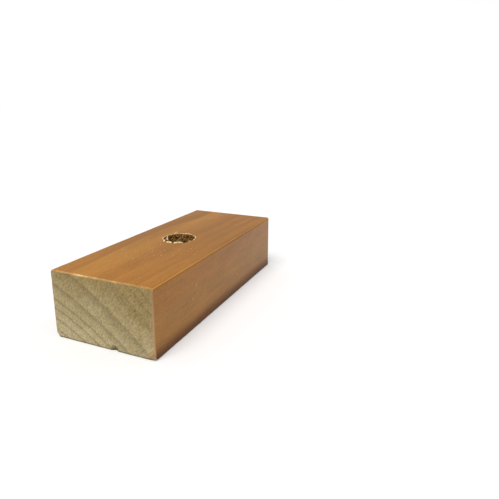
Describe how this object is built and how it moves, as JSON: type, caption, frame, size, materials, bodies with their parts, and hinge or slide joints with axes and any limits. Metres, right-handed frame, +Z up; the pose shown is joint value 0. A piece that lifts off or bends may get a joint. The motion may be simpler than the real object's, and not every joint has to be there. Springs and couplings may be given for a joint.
{
  "type": "wooden stamp block",
  "caption": "Plain varnished wooden block for a hand stamp, with a blind hole in its top for the handle and a bare flat base for the stamp die.",
  "frame": {"origin": "middle of the bare base, the face that the stamp die is glued to", "axes": "+X along the grain and the length, +Z up out of the handle hole, +Y across the width"},
  "size_m": [0.0762, 0.0318, 0.0191],
  "materials": {
    "wood": "clear amber varnish on the top and the two long sides, bare wood on the ends and base"
  },
  "bodies": {
    "root": {"stamp_block": "wood"}
  },
  "joints": []
}
